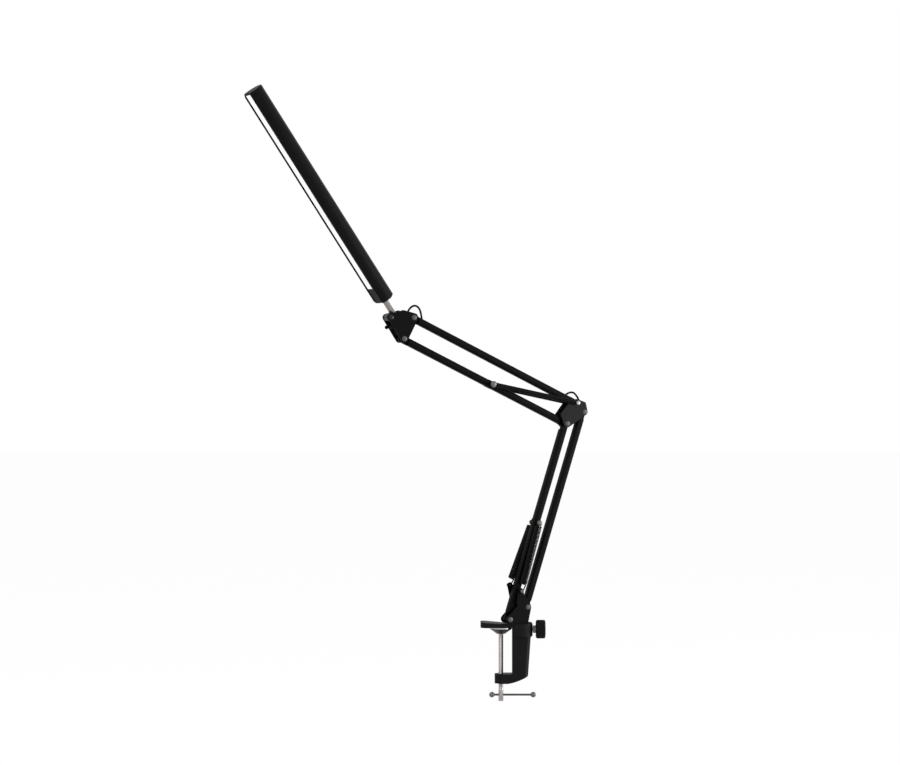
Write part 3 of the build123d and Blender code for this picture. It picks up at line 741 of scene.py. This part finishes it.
# Tommy bar's balls and the lock screw's knurled knob, both turned about lines along x
ALONG_X = Vector((1, 0, 0))
TOMMY_ENDS = {"left": -12.8, "right": 45.8}
TOMMY_LEVEL = -96.0
BALL_RADIUS = 4
BALL_STEPS = 14
BALL_SIDES = 28
KNOB_PLACE = (49.5, 0, -3.0)
KNOB_PROFILE = [
    (0.0, 3.2),
    (0.0, 11.2),
    (0.6, 12.4),
    (1.4, 13.0),
    (2.2, 13.2),
    (6.8, 13.2),
    (11.4, 13.2),
    (12.4, 12.9),
    (13.2, 12.1),
    (13.6, 10.8),
    (13.2, 8.0),
    (13.2, TIP_RADIUS),
]
KNOB_SIDES = 160
KNURLS = 40
KNURL_DEPTH = 0.45
KNURL_FROM = 12.0


def knurl(angle, radius):
    """How far the knurling cuts into the knob, on its rim only."""
    return -KNURL_DEPTH * (0.5 + 0.5 * cos(KNURLS * angle)) if radius > KNURL_FROM else 0.0


BALL_TURNS = [pi * k / BALL_STEPS for k in range(BALL_STEPS + 1)]
BALL_PROFILE = [
    (-BALL_RADIUS * cos(turn), max(BALL_RADIUS * sin(turn), TIP_RADIUS)) for turn in BALL_TURNS
]
for label, end in TOMMY_ENDS.items():
    middle = Vector((end, 0, TOMMY_LEVEL)) * MM
    made = lathe(f"tommy_ball_{label}", middle, ALONG_X, BALL_PROFILE, BALL_SIDES)
    dress(made, "chrome", BALL_STEEL)
    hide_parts("tommy_balls")
    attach(made, "tommy")

made = lathe(
    "lock_knob_knurled", Vector(KNOB_PLACE) * MM, ALONG_X, KNOB_PROFILE, KNOB_SIDES, knurl
)
dress(made, "black_plastic")
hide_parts("lock_knob")
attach(made, "lock")


# Studio, in metres. The floor is below the clamp screw's lowest place
FLOOR_LEVEL = -0.17
FLOOR_SIZE = 30
FLOOR_COLOR = (0.9, 0.9, 0.9, 1)
FLOOR_ROUGH = 0.9
FLOOR_WHITE, WHITE_SHARE = 1.05, 0.9  # the floor as the camera sees it, mixed with its shadows
WORLD_LIGHT, WORLD_WHITE = 0.35, 1.0  # on the object, and as the camera sees it
LAMP_AIM = Vector((-0.1, 0, 0.35))
LAMPS = (  # place, power and size
    ("key", (2.4, -0.25, 0.2), 60, 1.2),
    ("fill", (-1.8, -2.2, 1.8), 35, 1.8),
)

# Camera: side-on to the clamp, as the photograph is taken
CAMERA_PLACE = (-0.0723, -3.5, 0.3472)
CAMERA_LENS = 98.6
SENSOR_WIDTH = 36.0


def seen(tree):
    """Whether a ray is seen by the camera, directly, in a gloss or through glass."""
    path = tree.nodes.new("ShaderNodeLightPath")
    last = path.outputs["Is Camera Ray"]
    for kind in ("Is Glossy Ray", "Is Transmission Ray"):
        either = tree.nodes.new("ShaderNodeMath")
        either.operation = "MAXIMUM"
        tree.links.new(last, either.inputs[0])
        tree.links.new(path.outputs[kind], either.inputs[1])
        last = either.outputs["Value"]
    return last


def add_floor():
    """A pale floor that looks white to the camera and keeps the lamp's shadow."""
    bpy.ops.mesh.primitive_plane_add(size=FLOOR_SIZE, location=(0, 0, FLOOR_LEVEL))
    floor = bpy.context.object
    floor.name = "floor"
    paint = bpy.data.materials.new("pale_floor")
    paint.use_nodes = True
    tree = paint.node_tree
    shader = tree.nodes["Principled BSDF"]
    shader.inputs["Base Color"].default_value = FLOOR_COLOR
    shader.inputs["Roughness"].default_value = FLOOR_ROUGH
    white = tree.nodes.new("ShaderNodeEmission")
    white.inputs["Strength"].default_value = FLOOR_WHITE
    mix = tree.nodes.new("ShaderNodeMixShader")
    most = tree.nodes.new("ShaderNodeMath")
    most.operation = "MULTIPLY"
    most.inputs[1].default_value = WHITE_SHARE
    tree.links.new(seen(tree), most.inputs[0])
    tree.links.new(most.outputs["Value"], mix.inputs["Fac"])
    tree.links.new(shader.outputs["BSDF"], mix.inputs[1])
    tree.links.new(white.outputs["Emission"], mix.inputs[2])
    tree.links.new(mix.outputs["Shader"], tree.nodes["Material Output"].inputs["Surface"])
    floor.data.materials.append(paint)


def light_world(scene):
    """A world that lights the lamp softly and looks white to the camera."""
    world = scene.world or bpy.data.worlds.new("studio")
    scene.world = world
    world.use_nodes = True
    tree = world.node_tree
    back = tree.nodes["Background"]
    back.inputs["Color"].default_value = (1, 1, 1, 1)
    level = tree.nodes.new("ShaderNodeMapRange")
    level.inputs["To Min"].default_value = WORLD_LIGHT
    level.inputs["To Max"].default_value = WORLD_WHITE
    tree.links.new(seen(tree), level.inputs["Value"])
    tree.links.new(level.outputs["Result"], back.inputs["Strength"])


def add_lamps(scene):
    """Two soft lamps, aimed at the middle of the object."""
    for name, place, power, size in LAMPS:
        lamp = bpy.data.lights.new(name, "AREA")
        lamp.energy = power
        lamp.size = size
        holder = bpy.data.objects.new(name, lamp)
        scene.collection.objects.link(holder)
        holder.location = place
        aim = LAMP_AIM - Vector(place)
        holder.rotation_euler = aim.to_track_quat("-Z", "Y").to_euler()


def add_camera(scene):
    """The camera at the photograph's place, level and looking along y."""
    eye = bpy.data.cameras.new("camera")
    eye.lens = CAMERA_LENS
    eye.sensor_width = SENSOR_WIDTH
    eye.sensor_fit = "HORIZONTAL"
    holder = bpy.data.objects.new("camera", eye)
    scene.collection.objects.link(holder)
    holder.location = CAMERA_PLACE
    holder.rotation_euler = (pi / 2, 0, 0)
    scene.camera = holder


add_floor()
light_world(bpy.context.scene)
add_lamps(bpy.context.scene)
add_camera(bpy.context.scene)
bpy.context.scene.view_settings.view_transform = "Standard"
